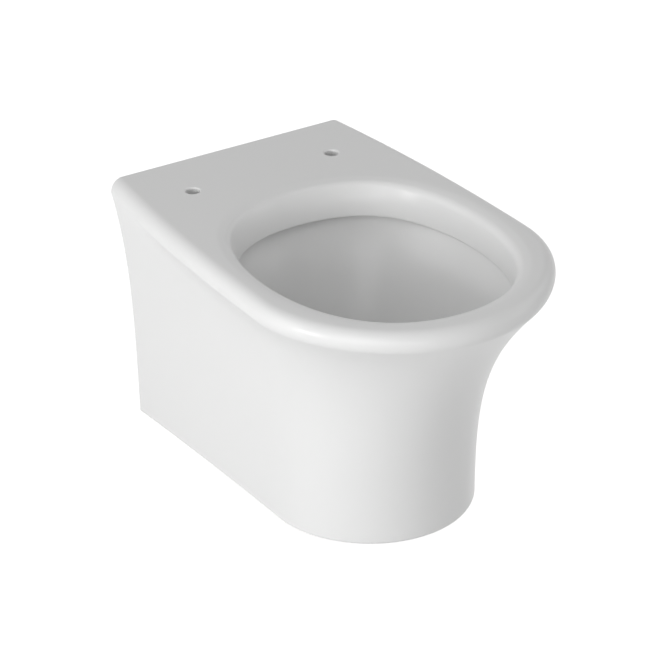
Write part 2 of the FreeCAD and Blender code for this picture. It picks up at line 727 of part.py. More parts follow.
# Drain connector: a plastic pipe whose socket slides over the spigot, with a lipped rubber ring
# in a groove of the socket.
socket_front = "-(spigot_set_back + socket_cover)"
groove_start = socket_front + " + groove_front"
groove_end = groove_start + " + groove_length"
socket_end = "(socket_stop - spigot_set_back)"
socket_bore = "spigot_radius + socket_gap"
socket_skin = socket_bore + " + socket_wall"
drain_connector = new_body("drain_connector")
turned(drain_connector, "Revolution", "drain_tube", "0", "drain_level", [
    (socket_front, socket_bore),
    (socket_front, socket_skin + " + groove_depth"),
    (groove_end + " + socket_wall", socket_skin + " + groove_depth"),
    (groove_end + " + 2 * socket_wall", socket_skin),
    (socket_end + " + drain_wall", socket_skin),
    (socket_end + " + drain_wall + %s - drain_radius" % socket_skin, "drain_radius"),
    ("drain_back", "drain_radius"),
    ("drain_back", "drain_radius - drain_wall"),
    (socket_end, "drain_radius - drain_wall"),
    (socket_end, socket_bore),
    (groove_end, socket_bore),
    (groove_end, socket_bore + " + groove_depth"),
    (groove_start, socket_bore + " + groove_depth"),
    (groove_start, socket_bore),
])
drain_seal = new_body("drain_seal")
seal_end = groove_end + " - seat_gap"
slack, tight = "spigot_radius + drain_seal_lip", "spigot_radius + slip_gap"
lips = [(seal_end + " - groove_length * %d / 6" % step, tight if step % 2 else slack) for step in range(5)]
turned(drain_seal, "Revolution", "lip_ring", "0", "drain_level", [
    (groove_start + " + seat_gap", slack),
    (groove_start + " + seat_gap", socket_bore + " + groove_depth - seat_gap"),
    (seal_end, socket_bore + " + groove_depth - seat_gap"),
] + lips)

doc.recompute()
for item in doc.Objects:
    if "Invalid" in item.State or "Error" in item.State:
        raise RuntimeError(item.Name + " did not build")
os.makedirs("parts", exist_ok=True)
for body in doc.findObjects("PartDesign::Body"):
    shape = body.Shape
    if shape.isNull() or not shape.isValid() or len(shape.Solids) != 1:
        raise RuntimeError(body.Label + " is not one sound solid")
    shape.exportStep("parts/%s.step" % body.Label)
    print(body.Label, round(shape.Volume), "cubic mm")
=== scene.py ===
import math

import bmesh
import bpy
import numpy as np
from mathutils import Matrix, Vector
from mathutils.geometry import delaunay_2d_cdt


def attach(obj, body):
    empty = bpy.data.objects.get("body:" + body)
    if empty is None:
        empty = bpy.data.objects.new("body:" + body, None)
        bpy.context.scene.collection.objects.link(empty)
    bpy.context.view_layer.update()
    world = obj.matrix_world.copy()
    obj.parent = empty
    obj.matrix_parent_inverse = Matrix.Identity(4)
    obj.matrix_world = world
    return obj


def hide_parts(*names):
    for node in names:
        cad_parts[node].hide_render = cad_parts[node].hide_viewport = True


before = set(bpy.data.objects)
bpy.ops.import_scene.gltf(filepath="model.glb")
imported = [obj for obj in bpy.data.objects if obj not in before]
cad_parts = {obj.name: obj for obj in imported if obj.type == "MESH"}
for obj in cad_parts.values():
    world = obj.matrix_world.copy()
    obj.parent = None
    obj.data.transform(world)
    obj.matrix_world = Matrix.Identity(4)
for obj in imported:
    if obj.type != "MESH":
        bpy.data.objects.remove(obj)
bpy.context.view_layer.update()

# Glazed pan. Vitreous china, slip-cast as a hollow shell with the rim, bowl and skirt stuck
# together, then glazed and fired at white heat. Only the back that meets the wall, the foot ring
# and the hollow underneath stay without glaze. Sizes are in millimetres until the mesh is made.
RIM_TOP, PAN_HEIGHT = 80.0, 313.0
RIM_ROUND, FOOT_ROUND = 15.0, 4.0
# reach at the foot, reach at the rim, angle off plumb below the rim's round, straight share
FLARES = {
    "rear": (128.0, 157.5, math.radians(14.5), 0.33),
    "side": (121.0, 180.0, math.radians(42.0), 0.0),
    "nose": (419.0, 520.0, math.radians(40.0), 0.0),
}
WIDEST_AT_FOOT, WIDEST_AT_RIM = 294.0, 328.0
NOSE_FULLNESS, MOUTH_FULLNESS, ROUND = 0.5523, 0.63, 0.5523
MOUTH_HALF, MOUTH_REAR, MOUTH_MIDDLE, MOUTH_NOSE = 138.4, 148.0, 291.4, 474.6
# edge of the mouth: width, round and tilt of the land, round of the edge, the angle at which the
# wall begins, and the drop of the lip; at the sides and the nose, and at the rear
SIDE_EDGE = (21.0, 22.0, math.radians(14), 13.0, math.radians(84), 43.5)
REAR_EDGE = (26.0, 40.0, math.radians(8), 8.5, math.radians(62), 40.5)
LIP_WALL, LIP_ROUND, RIM_ROOF = 5.0, 2.0, 22.0
SLOT_HALF, SLOT_REAR, SLOT_NOSE, SLOT_LEVEL, CHANNEL_FLARE = 146.5, 128.7, 483.5, 35.0, 7.0
SIDE_FALL, REAR_FALL, NOSE_FALL = 0.85, 0.9, 1.04
SKIRT_WALL, REAR_WALL, DECK_WALL, BOWL_WALL, TRAP_WALL = 8.0, 14.0, 14.0, 7.0, 9.0
RIM_DEPTH, DECK_REACH = 70.0, 98.0
SUMP_LEVEL, SUMP_REACH, TRAP_BORE, SUMP_SWELL = -191.0, 277.0, 28.0, 2.0
DRAIN_LEVEL, ARCH_RADIUS = -100.0, 68.0
INLET_LEVEL, INLET_RADIUS, INLET_DEPTH, FLUSH_BORE = 35.0, 27.5, 45.0, 19.0
# flush horn: where its outside starts, where duct and outside end, and the duct's half width,
# half height and drop below the roof of the channel
HORN_FOOT, DUCT_END, HORN_END = -7.0, -131.7, -119.7
DUCT_HALF, DUCT_HIGH, DUCT_DROP = 34.0, 8.0, 10.0
SEAT_HOLE, SEAT_SPREAD, SEAT_REACH, SEAT_ROUND = 8.2, 187.0, 75.5, 2.0
SEAT_STEP, SEAT_PAST = 8.0, 4.0
STUD_HOLE, STUD_SPREAD = 11.0, 180.0
# the narrow flat beside each edge, and how far a cutting shape reaches past what it cuts
EDGE, CLEAR = 0.8, 5.0


def curve_weights(places, knots):
    """Weights of the ten poles of a cubic curve at places along it, by the rule of Cox and de Boor:
    a pole's weight is a blend of its neighbours' weights of one degree less. The end knots count
    four times and the inner ones twice."""
    full = np.repeat(np.asarray(knots, float), (4, 2, 2, 2, 4))
    at = np.clip(np.asarray(places, float), knots[0], knots[-1] - 1e-9)[:, None]
    weights = ((full[:-1] <= at) & (at < full[1:])).astype(float)
    for degree in (1, 2, 3):
        span_left = full[degree:-1] - full[:-degree - 1]
        span_right = full[degree + 1:] - full[1:-degree]
        left, right = np.zeros_like(weights[:, 1:]), np.zeros_like(weights[:, 1:])
        np.divide(at - full[:-degree - 1], span_left, out=left, where=span_left > 0)
        np.divide(full[degree + 1:] - at, span_right, out=right, where=span_right > 0)
        weights = left * weights[:, :-1] + right * weights[:, 1:]
    return weights


D_WEIGHTS = curve_weights(np.linspace(0, 5.2, 241), (0, 1.6, 2.6, 3.6, 5.2))
EGG_WEIGHTS = curve_weights(np.linspace(0, 4, 240, endpoint=False), (0, 1, 2, 3, 4))


def mirrored_rings(across, along, weights):
    """Rings from five poles a side, one row of poles for each level: the left side mirrors the
    right, and each ring is the poles' sum by their weights."""
    across, along = np.broadcast_arrays(
        *(np.stack(np.broadcast_arrays(*places), -1) for places in (across, along)))
    right = np.stack((across, along), -1)
    poles = np.concatenate((right, right[:, ::-1] * (-1, 1)), 1)
    return np.einsum("np,lpk->lnk", weights, poles)


def flare(part, height):
    """Reach of the skin at a height over the foot: a power curve from the foot, which runs at its
    tilt into the quarter round of the rim; the foot's edge is a small quarter round."""
    foot, edge, tilt, lean = FLARES[part]
    end_height = PAN_HEIGHT - RIM_ROUND * (1 + math.sin(tilt))
    end_reach = edge - RIM_ROUND * (1 - math.cos(tilt))
    power = (math.tan(tilt) * end_height / (end_reach - foot) - lean) / (1 - lean)
    share = np.clip(height / end_height, 0, 1)
    low = foot + (end_reach - foot) * ((1 - lean) * share ** power + lean * share)
    sunk = FOOT_ROUND - np.clip(height, 0, FOOT_ROUND)
    low = low - FOOT_ROUND + np.sqrt(FOOT_ROUND ** 2 - sunk ** 2)
    over = np.clip(height - PAN_HEIGHT + RIM_ROUND, -RIM_ROUND, RIM_ROUND)
    high = edge - RIM_ROUND + np.sqrt(RIM_ROUND ** 2 - over ** 2)
    return np.where(height > end_height, high, low)


def d_rings(height, wall, back, level):
    """D-shaped rings at heights over the foot, drawn in by a wall, open at the straight back."""
    rear, side, nose = (flare(part, height) - wall for part in ("rear", "side", "nose"))
    widest = WIDEST_AT_FOOT + (WIDEST_AT_RIM - WIDEST_AT_FOOT) * (height / PAN_HEIGHT) ** 4
    rings = mirrored_rings(
        (rear, rear + (side - rear) * 2 / 3, side, side, NOSE_FULLNESS * side),
        (np.full_like(rear, back), -widest / 3, -widest * 2 / 3,
         -widest - NOSE_FULLNESS * (nose - widest), -nose), D_WEIGHTS)
    return np.concatenate((rings, np.broadcast_to(level[:, None, None], rings.shape[:2] + (1,))), 2)


def egg_rings(half, back, middle, front, fullness, level):
    """Closed egg rings: half width, reach of the back, the middle and the front, and level."""
    half, back, middle, front, fullness, level = np.broadcast_arrays(
        *np.atleast_1d(half, back, middle, front, fullness, level))
    rings = mirrored_rings(
        (np.zeros(half.shape), fullness * half, half, half, fullness * half),
        (-back, -back, -middle - fullness * (back - middle),
         -middle - fullness * (front - middle), -front), EGG_WEIGHTS)
    return np.concatenate((rings, np.broadcast_to(level[:, None, None], rings.shape[:2] + (1,))), 2)


def outward_of(ring):
    """Unit directions square to a closed ring, away from its middle."""
    tangent = np.roll(ring[:, :2], -1, 0) - np.roll(ring[:, :2], 1, 0)
    outward = np.stack((-tangent[:, 1], tangent[:, 0]), -1)
    outward /= np.linalg.norm(outward, axis=1)[:, None]
    return outward * np.sign(np.sum(outward * (ring[:, :2] - ring[:, :2].mean(0)), 1).mean())


def smooth_through(places, values, at):
    """A natural cubic spline through values at places: its second slopes solve one small system."""
    step = np.diff(places)
    slope = np.diff(values) / step
    system = np.eye(len(places))
    right = np.zeros(len(places))
    inner = np.arange(1, len(places) - 1)
    system[inner, inner - 1] = step[:-1]
    system[inner, inner] = 2 * (step[:-1] + step[1:])
    system[inner, inner + 1] = step[1:]
    right[inner] = 6 * np.diff(slope)
    bend = np.linalg.solve(system, right)
    span = np.clip(np.searchsorted(places, at) - 1, 0, len(step) - 1)
    run = at - places[span]
    start = slope[span] - step[span] * (2 * bend[span] + bend[span + 1]) / 6
    growth = run * (bend[span + 1] - bend[span]) / (6 * step[span])
    return values[span] + run * (start + run * (bend[span] / 2 + growth))


def grid_faces(rows, columns, wrap):
    """Corner numbers of the quads of a grid, closed round its columns where it wraps."""
    row, column = np.meshgrid(
        np.arange(rows - 1), np.arange(columns if wrap else columns - 1), indexing="ij")
    here, beside = row * columns + column, row * columns + (column + 1) % columns
    return np.stack((here, beside, beside + columns, here + columns), -1).reshape(-1, 4)


def ladder(ring):
    """Two rows that close a mirrored open ring straight across, as rungs from side to side."""
    half = len(ring) // 2 + 1
    return np.stack((ring[:half], ring[::-1][:half]))


def flat_sheet(loops, level):
    """Triangles of the flat sheet inside the first loop and outside the others."""
    starts = np.cumsum([0] + [len(loop) for loop in loops])
    faces = [list(range(first, last)) for first, last in zip(starts, starts[1:])]
    points = [Vector(point) for point in np.concatenate(loops)[:, :2].tolist()]
    flat, _, triangles, *_ = delaunay_2d_cdt(points, [], faces, 2, 1e-7)
    return np.array([(point.x, point.y, level) for point in flat]), triangles


def finish(name, tones, scale, gloss, grain_scale, relief, stretch=(1, 1, 1)):
    """A finish in the piece's own coordinates: a slow noise leads its tone and its gloss from one
    end of their range to the other, and a fine noise raises its surface a little."""
    material = bpy.data.materials.new(name)
    material.use_nodes = True
    nodes, links = material.node_tree.nodes, material.node_tree.links
    shader = nodes["Principled BSDF"]
    place, turned = nodes.new("ShaderNodeTexCoord"), nodes.new("ShaderNodeMapping")
    turned.inputs["Scale"].default_value = stretch
    links.new(place.outputs["Object"], turned.inputs["Vector"])
    drift, grain = nodes.new("ShaderNodeTexNoise"), nodes.new("ShaderNodeTexNoise")
    for noise, size in ((drift, scale), (grain, grain_scale)):
        noise.inputs["Scale"].default_value = size
        noise.inputs["Detail"].default_value = 3
        links.new(turned.outputs["Vector"], noise.inputs["Vector"])
    noise_ends = (0.1, 0.9)
    tone = nodes.new("ShaderNodeValToRGB")
    for stop, at, colour in zip(tone.color_ramp.elements, noise_ends, tones):
        stop.position, stop.color = at, (*colour, 1)
    links.new(drift.outputs["Fac"], tone.inputs["Fac"])
    links.new(tone.outputs["Color"], shader.inputs["Base Color"])
    shine = nodes.new("ShaderNodeMapRange")
    shine.inputs["From Min"].default_value, shine.inputs["From Max"].default_value = noise_ends
    shine.inputs["To Min"].default_value, shine.inputs["To Max"].default_value = gloss
    links.new(drift.outputs["Fac"], shine.inputs["Value"])
    links.new(shine.outputs["Result"], shader.inputs["Roughness"])
    bump = nodes.new("ShaderNodeBump")
    bump.inputs["Strength"].default_value, bump.inputs["Distance"].default_value = relief
    links.new(grain.outputs["Fac"], bump.inputs["Height"])
    links.new(bump.outputs["Normal"], shader.inputs["Normal"])
    return material


# Glaze: opaque white glass a few tenths of a millimetre thick, which pools and thins a little.
# Raw china: the same body where the glaze was wiped off, dull and faintly warm.
white_glaze = finish(
    "white_glaze", tones=((0.808, 0.811, 0.808), (0.82, 0.82, 0.816)), scale=3,
    gloss=(0.27, 0.31), grain_scale=260, relief=(0.04, 0.0001))
glaze_shader = white_glaze.node_tree.nodes["Principled BSDF"]
glaze_shader.inputs["IOR"].default_value = 1.52
glaze_shader.inputs["Specular IOR Level"].default_value = 0.35
raw_china = finish(
    "raw_china", tones=((0.60, 0.57, 0.52), (0.72, 0.69, 0.63)), scale=30,
    gloss=(0.75, 0.92), grain_scale=700, relief=(0.35, 0.0004))


def solid(name, material, grids, sheets=()):
    """One closed mesh from grids of points, each with a mark for wrapping, and flat sheets. Points
    that coincide are joined, and the faces are turned outwards."""
    points, faces, count = [], [], 0
    for grid, wrap in grids:
        rows, columns = grid.shape[:2]
        points.append(grid.reshape(-1, 3))
        faces += (grid_faces(rows, columns, wrap) + count).tolist()
        count += rows * columns
    for corners, triangles in sheets:
        points.append(corners)
        faces += [[corner + count for corner in triangle] for triangle in triangles]
        count += len(corners)
    mesh = bpy.data.meshes.new(name)
    mesh.from_pydata((np.concatenate(points) / 1000).tolist(), [], faces)
    work = bmesh.new()
    work.from_mesh(mesh)
    bmesh.ops.remove_doubles(work, verts=work.verts, dist=2e-6)
    bmesh.ops.dissolve_degenerate(work, edges=work.edges, dist=1e-7)
    bmesh.ops.recalc_face_normals(work, faces=work.faces)
    work.to_mesh(mesh)
    work.free()
    mesh.materials.append(material)
    piece = bpy.data.objects.new(name, mesh)
    bpy.context.scene.collection.objects.link(piece)
    return piece


def carve(piece, tool, operation):
    """Join a closed tool to a closed piece, or take it away, and drop the tool. The faces that the
    tool leaves keep its finish."""
    cut = piece.modifiers.new("carve", "BOOLEAN")
    cut.object, cut.operation, cut.solver, cut.material_mode = tool, operation, "MANIFOLD", "TRANSFER"
    graph = bpy.context.evaluated_depsgraph_get()
    mesh = bpy.data.meshes.new_from_object(piece.evaluated_get(graph), depsgraph=graph)
    piece.modifiers.clear()
    piece.data = mesh
    bpy.data.objects.remove(tool)


def tube(path, radius, sides=64):
    """A closed round tube along a path in the plane x = 0: rings square to the path, with a point
    at each end."""
    along = np.gradient(path, axis=0)
    along /= np.linalg.norm(along, axis=1)[:, None]
    up = np.stack((-along[:, 1], along[:, 0]), -1)
    turn = np.linspace(0, 2 * np.pi, sides, endpoint=False)
    lift = radius[:, None] * np.sin(turn)
    rings = np.stack((
        radius[:, None] * np.cos(turn), path[:, :1] + lift * up[:, :1],
        path[:, 1:] + lift * up[:, 1:]), -1)
    ends = [np.broadcast_to(np.array((0.0, *path[end])), rings[:1].shape) for end in (0, -1)]
    return np.concatenate((ends[0], rings, ends[1]))


# Outside of the pan: rings from the foot to the flat top, with one ring just inside each flat.
STEEPEST = 42  # degrees off plumb, where the flare of the sides runs into the rim's round
foot_turn = np.radians(np.linspace(0, 90, 9))
rim_turn = np.radians(np.linspace(-STEEPEST, 90, 34))
rim_foot = PAN_HEIGHT - RIM_ROUND * (1 + math.sin(math.radians(STEEPEST)))
heights = np.concatenate((
    FOOT_ROUND * (1 - np.cos(foot_turn)),
    np.linspace(FOOT_ROUND, rim_foot, 66)[1:-1],
    PAN_HEIGHT - RIM_ROUND * (1 - np.sin(rim_turn)),
))
skin_heights = np.concatenate((heights[:1], heights, heights[-1:]))
inset = np.zeros(len(skin_heights))
inset[[0, -1]] = EDGE
skin = d_rings(skin_heights, inset, 0.0, RIM_TOP - PAN_HEIGHT + skin_heights)

# Mouth, hanging lip, flush channel and bowl, as egg rings down to the bottom of the sump.
mouth = egg_rings(MOUTH_HALF, MOUTH_REAR, MOUTH_MIDDLE, MOUTH_NOSE, MOUTH_FULLNESS, RIM_TOP)[0]
quarter = np.radians(np.linspace(0, 90, 13))


def edge_profile(wide, land_round, tilt, edge_round, steep, drop):
    """Reach and depth of the mouth's edge and its lip: an arc tips the land to its tilt, a straight
    run leads to the edge's own arc, a slack arc brings the wall upright above the lip's end, and the
    lip turns round it and climbs to the roof of the channel. The slack radius fills the drop."""
    land, bend = np.linspace(0, tilt, 5), np.linspace(tilt, steep, 12)
    hang = np.linspace(steep, np.pi / 2, 10)[1:]
    land_down = land_round * (1 - np.cos(land))
    edge_out = edge_round * (math.sin(steep) - np.sin(bend))
    edge_down = edge_round * (math.cos(tilt) - np.cos(bend))
    room_left = wide - land_round * math.sin(tilt) - edge_out[0]
    slack = ((drop - LIP_ROUND - land_down[-1] - edge_down[-1] - room_left * math.tan(tilt))
             / (math.cos(steep) - (1 - math.sin(steep)) * math.tan(tilt)))
    wall_out = slack * (1 - math.sin(steep))
    edge_at = land_down[-1] + (room_left - wall_out) * math.tan(tilt)
    return np.array((
        np.concatenate((
            [wide + EDGE], wide - land_round * np.sin(land), wall_out + edge_out,
            slack * (1 - np.sin(hang)), LIP_ROUND * (1 - np.cos(quarter[1:])),
            LIP_WALL - LIP_ROUND * (1 - np.sin(quarter)),
            np.full(5, LIP_WALL), LIP_WALL + LIP_ROUND * (1 - np.cos(quarter[1:])))),
        np.concatenate((
            [0], land_down, edge_at + edge_down,
            edge_at + edge_down[-1] + slack * (math.cos(steep) - np.cos(hang)),
            drop - LIP_ROUND * (1 - np.sin(quarter[1:])), drop - LIP_ROUND * (1 - np.cos(quarter)),
            np.linspace(drop - LIP_ROUND, RIM_ROOF + LIP_ROUND, 6)[1:],
            RIM_ROOF + LIP_ROUND * (1 - np.sin(quarter[1:]))))))


# The edge is tighter at the rear, where its wall leans back, and eases into that of the sides.
EASE_START, EASE_SPAN = 0.15, 0.75
outward = outward_of(mouth)
rear_share = np.clip((outward[:, 1] - EASE_START) / EASE_SPAN, 0, 1)
rear_share = rear_share ** 2 * (3 - 2 * rear_share)
side_edge = edge_profile(*SIDE_EDGE)[..., None]
rear_edge = edge_profile(*REAR_EDGE)[..., None]
lip_out, lip_down = side_edge + (rear_edge - side_edge) * rear_share
lip = np.concatenate((
    mouth[:, :2] + lip_out[..., None] * outward, RIM_TOP - lip_down[..., None]), 2)
slot = (SLOT_HALF, SLOT_REAR, SLOT_NOSE)
bowl_depth = SLOT_LEVEL - SUMP_LEVEL
roof_share = (SLOT_LEVEL - RIM_TOP + RIM_ROOF) / bowl_depth
shares = np.array((roof_share, 0, 0.1, 0.25, 0.45, 0.65, 0.85, 1))


def bowl_rings(share, wall):
    """Egg rings of the bowl at shares of its depth, let out by a wall: each size falls from the
    flush slot to the sump by a power of the share, smoothed through the maker's eight templates."""
    ends = (TRAP_BORE, SUMP_REACH - TRAP_BORE, SUMP_REACH + TRAP_BORE)
    known = np.clip(shares, 0, 1)
    rows = [end + (top - end) * (1 - known ** fall)
            for top, end, fall in zip(slot, ends, (SIDE_FALL, REAR_FALL, NOSE_FALL))]
    for row, sign in zip(rows, (1, -1, 1)):
        row[0] += sign * CHANNEL_FLARE
    rows.append(MOUTH_MIDDLE + (SUMP_REACH - MOUTH_MIDDLE) * known)
    rows.append(MOUTH_FULLNESS + (ROUND - MOUTH_FULLNESS) * known)
    half, back, front, middle, fullness = (smooth_through(shares, row, share) for row in rows)
    level = SLOT_LEVEL - bowl_depth * share
    return egg_rings(half + wall, back - wall, middle, front + wall, fullness, level)


def cup(radius, depth):
    """Rings of the round bottom of the sump, down to one point."""
    dip = np.radians(np.linspace(0, 90, 15)[1:])
    ring = radius * np.cos(dip)
    ring[-1] = 0
    level = SUMP_LEVEL - depth * np.sin(dip)
    return egg_rings(ring, SUMP_REACH - ring, SUMP_REACH, SUMP_REACH + ring, ROUND, level)


roof_edge = bowl_rings(shares[:1], -LIP_ROUND)
roof_edge[..., 2] = RIM_TOP - RIM_ROOF
inside = np.concatenate((
    lip, roof_edge, bowl_rings(np.linspace(roof_share + 0.01, 1, 72), 0.0),
    cup(TRAP_BORE, TRAP_BORE + SUMP_SWELL)))

# Two holes for a seat's hinges, with softly rounded edges, drawn as cups that end in the deck.
turn = np.linspace(0, 2 * np.pi, 48, endpoint=False)
seat_end = -DECK_WALL - SEAT_PAST
seat_radius = np.concatenate((
    [SEAT_HOLE + SEAT_ROUND + EDGE], SEAT_HOLE + SEAT_ROUND * (1 - np.sin(quarter)),
    [SEAT_HOLE, SEAT_HOLE, 0]))
seat_level = np.concatenate((
    [0], -SEAT_ROUND * (1 - np.cos(quarter)), [-SEAT_STEP, seat_end, seat_end]))
seat_holes = [np.stack(np.broadcast_arrays(
    side * SEAT_SPREAD / 2 + seat_radius[:, None] * np.cos(turn),
    -SEAT_REACH + seat_radius[:, None] * np.sin(turn),
    RIM_TOP + seat_level[:, None]), -1) for side in (-1, 1)]
deck = flat_sheet([skin[-1], lip[0]] + [hole[0] for hole in seat_holes], RIM_TOP)

pan = solid("pan", white_glaze, [
    (skin, False),
    (np.stack((skin[:, 0], skin[:, -1])), False),
    (ladder(skin[0]), False),
    (inside, True),
    (seat_holes[0], True),
    (seat_holes[1], True),
], [deck])

# Hollow of the skirt, with the room under the deck and the arch round the drain. The bowl, the
# trap and the flush horn stand in it.
hollow_heights = np.concatenate(([0], np.linspace(FOOT_ROUND, PAN_HEIGHT - RIM_DEPTH, 30)))
hollow_levels = RIM_TOP - PAN_HEIGHT + hollow_heights
hollow_levels[0] -= 2 * FOOT_ROUND
hollow = d_rings(np.maximum(hollow_heights, FOOT_ROUND), SKIRT_WALL, -REAR_WALL, hollow_levels)
room = solid("room", raw_china, [
    (hollow, False),
    (np.stack((hollow[:, 0], hollow[:, -1])), False),
    (ladder(hollow[0]), False),
    (ladder(hollow[-1]), False),
])


def prism(outline, ends):
    """A closed straight prism: an outline across x and z, drawn from one place along y to another."""
    centre = outline.mean(0)
    rows = [(centre, ends[0]), (outline, ends[0]), (outline, ends[1]), (centre, ends[1])]
    return np.stack([np.stack((
        np.broadcast_to(shape[..., 0], len(outline)), np.full(len(outline), place),
        np.broadcast_to(shape[..., 1], len(outline))), -1) for shape, place in rows])


deck_half = flare("side", np.array([PAN_HEIGHT - RIM_DEPTH - REAR_WALL]))[0] - SKIRT_WALL
deck_low, deck_high = RIM_TOP - RIM_DEPTH - REAR_WALL, RIM_TOP - DECK_WALL
deck_room = prism(np.array((
    (-deck_half, deck_low), (deck_half, deck_low),
    (deck_half, deck_high), (-deck_half, deck_high))), (-REAR_WALL, -DECK_REACH))
carve(room, solid("deck_room", raw_china, [(deck_room, True)]), "UNION")
arch_turn = np.radians(np.linspace(0, 180, 49))
arch_foot = RIM_TOP - PAN_HEIGHT - 2 * FOOT_ROUND
arch = prism(np.concatenate((
    np.stack((ARCH_RADIUS * np.cos(arch_turn), DRAIN_LEVEL + ARCH_RADIUS * np.sin(arch_turn)), -1),
    [(-ARCH_RADIUS, arch_foot), (ARCH_RADIUS, arch_foot)])), (CLEAR, -2 * REAR_WALL))
carve(room, solid("arch", raw_china, [(arch, True)]), "UNION")

BOWL_TOP_SHARE = 0.08
sump_outside = TRAP_BORE + BOWL_WALL
bowl_outside = np.concatenate((
    bowl_rings(np.linspace(BOWL_TOP_SHARE, 1, 40), BOWL_WALL),
    cup(sump_outside, sump_outside + SUMP_SWELL)))
lid = np.broadcast_to(bowl_outside[0].mean(0), bowl_outside[:1].shape)
bowl_outside = np.concatenate((lid, bowl_outside))
carve(room, solid("bowl_outside", raw_china, [(bowl_outside, True)]), "DIFFERENCE")

# Trap: from the sump it bends up the rise, over the weir and down to the level of the drain.
TRAP_BEND, TRAP_RUN, TRAP_RISE, WEIR_LEVEL = 55.0, 42.0, math.radians(70), -84.0
SPIGOT_RADIUS, SPIGOT_BORE, SPIGOT_FOOT, SPIGOT_END = 51.0, 42.0, -50.0, -5.0


def bend_round(centre, start, end, count=25):
    """Points on one bend of the trap, from one angle to another."""
    angle = np.linspace(start, end, count)
    return np.asarray(centre) + TRAP_BEND * np.stack((np.cos(angle), np.sin(angle)), -1)


turn_at = np.array((TRAP_RUN - SUMP_REACH, SUMP_LEVEL))
foot_bend = bend_round(turn_at + (0, TRAP_BEND), -np.pi / 2, TRAP_RISE - np.pi / 2)
climb = WEIR_LEVEL - TRAP_BEND * (1 - math.cos(TRAP_RISE)) - foot_bend[-1, 1]
head = foot_bend[-1] + (climb / math.tan(TRAP_RISE), climb)
weir_centre = np.array((head[0] + TRAP_BEND * math.sin(TRAP_RISE), WEIR_LEVEL - TRAP_BEND))
fall = math.acos(1 - (WEIR_LEVEL - DRAIN_LEVEL) / (2 * TRAP_BEND))
last_centre = weir_centre + 2 * TRAP_BEND * np.array((math.sin(fall), math.cos(fall)))
trap_line = np.concatenate((
    np.linspace((-SUMP_REACH, SUMP_LEVEL), turn_at, 6)[:-1], foot_bend[:-1],
    np.linspace(foot_bend[-1], head, 8)[:-1],
    bend_round(weir_centre, np.pi / 2 + TRAP_RISE, np.pi / 2 - fall, 37)[:-1],
    bend_round(last_centre, 3 * np.pi / 2 - fall, 3 * np.pi / 2, 13)[:-1]))
taper_foot = SPIGOT_FOOT - SPIGOT_BORE + TRAP_BORE
outside_end = np.array((
    (taper_foot, TRAP_BORE + TRAP_WALL), (SPIGOT_FOOT, SPIGOT_RADIUS),
    (SPIGOT_END - 3, SPIGOT_RADIUS), (SPIGOT_END - 1, SPIGOT_RADIUS - 0.8),
    (SPIGOT_END, SPIGOT_RADIUS - 2.5)))
inside_end = np.array((
    (taper_foot, TRAP_BORE), (SPIGOT_FOOT, SPIGOT_BORE),
    (SPIGOT_END - 2, SPIGOT_BORE), (SPIGOT_END + 2, SPIGOT_BORE + 2)))


def trap_tube(name, material, end, radius):
    """The trap's pipe with its spigot: the line runs on level, with the spigot's own radii."""
    line = np.concatenate((trap_line, np.stack((end[:, 0], np.full(len(end), DRAIN_LEVEL)), -1)))
    radii = np.concatenate((np.full(len(trap_line), radius), end[:, 1]))
    return solid(name, material, [(tube(line, radii), True)])


carve(room, trap_tube("trap_outside", raw_china, outside_end, TRAP_BORE + TRAP_WALL), "DIFFERENCE")


def horn(name, material, rows):
    """A closed tube of upright eggs: place along y, half width, level and half height of each."""
    place, half, level, high = np.array(rows, float).T
    rings = mirrored_rings(
        (0 * half, ROUND * half, half, half, ROUND * half),
        (level + high, level + high, level + ROUND * high, level - ROUND * high, level - high),
        EGG_WEIGHTS[::5])
    places = np.broadcast_to(place[:, None], rings.shape[:2])
    grid = np.stack((rings[..., 0], places, rings[..., 1]), -1)
    ends = [np.broadcast_to(np.array((0.0, place[end], level[end])), grid[:1].shape)
            for end in (0, -1)]
    return solid(name, material, [(np.concatenate((ends[0], grid, ends[1])), True)])


duct_level, inlet_outside = RIM_TOP - RIM_ROOF - DUCT_DROP, INLET_RADIUS + TRAP_WALL
carve(room, horn("horn_outside", raw_china, (
    (HORN_FOOT, inlet_outside, INLET_LEVEL, inlet_outside),
    (HORN_END, DUCT_HALF + TRAP_WALL, duct_level, DUCT_HIGH + TRAP_WALL))), "DIFFERENCE")
carve(pan, room, "DIFFERENCE")
carve(pan, trap_tube("trap_inside", white_glaze, inside_end, TRAP_BORE), "DIFFERENCE")
carve(pan, horn("horn_inside", white_glaze, (
    (CLEAR, INLET_RADIUS, INLET_LEVEL, INLET_RADIUS),
    (-INLET_DEPTH, INLET_RADIUS, INLET_LEVEL, INLET_RADIUS),
    (-INLET_DEPTH - 0.5, FLUSH_BORE, INLET_LEVEL, FLUSH_BORE),
    (DUCT_END, DUCT_HALF, duct_level, DUCT_HIGH))), "DIFFERENCE")
stud_ring = np.stack((STUD_HOLE * np.cos(turn), STUD_HOLE * np.sin(turn)), -1)
for side in (-1, 1):
    stud_hole = prism(stud_ring + (side * STUD_SPREAD / 2, 0), (CLEAR, -REAR_WALL - CLEAR))
    carve(pan, solid("stud_hole", raw_china, [(stud_hole, True)]), "DIFFERENCE")
pan.data.shade_smooth()
pan.data.set_sharp_from_angle(angle=math.radians(38))

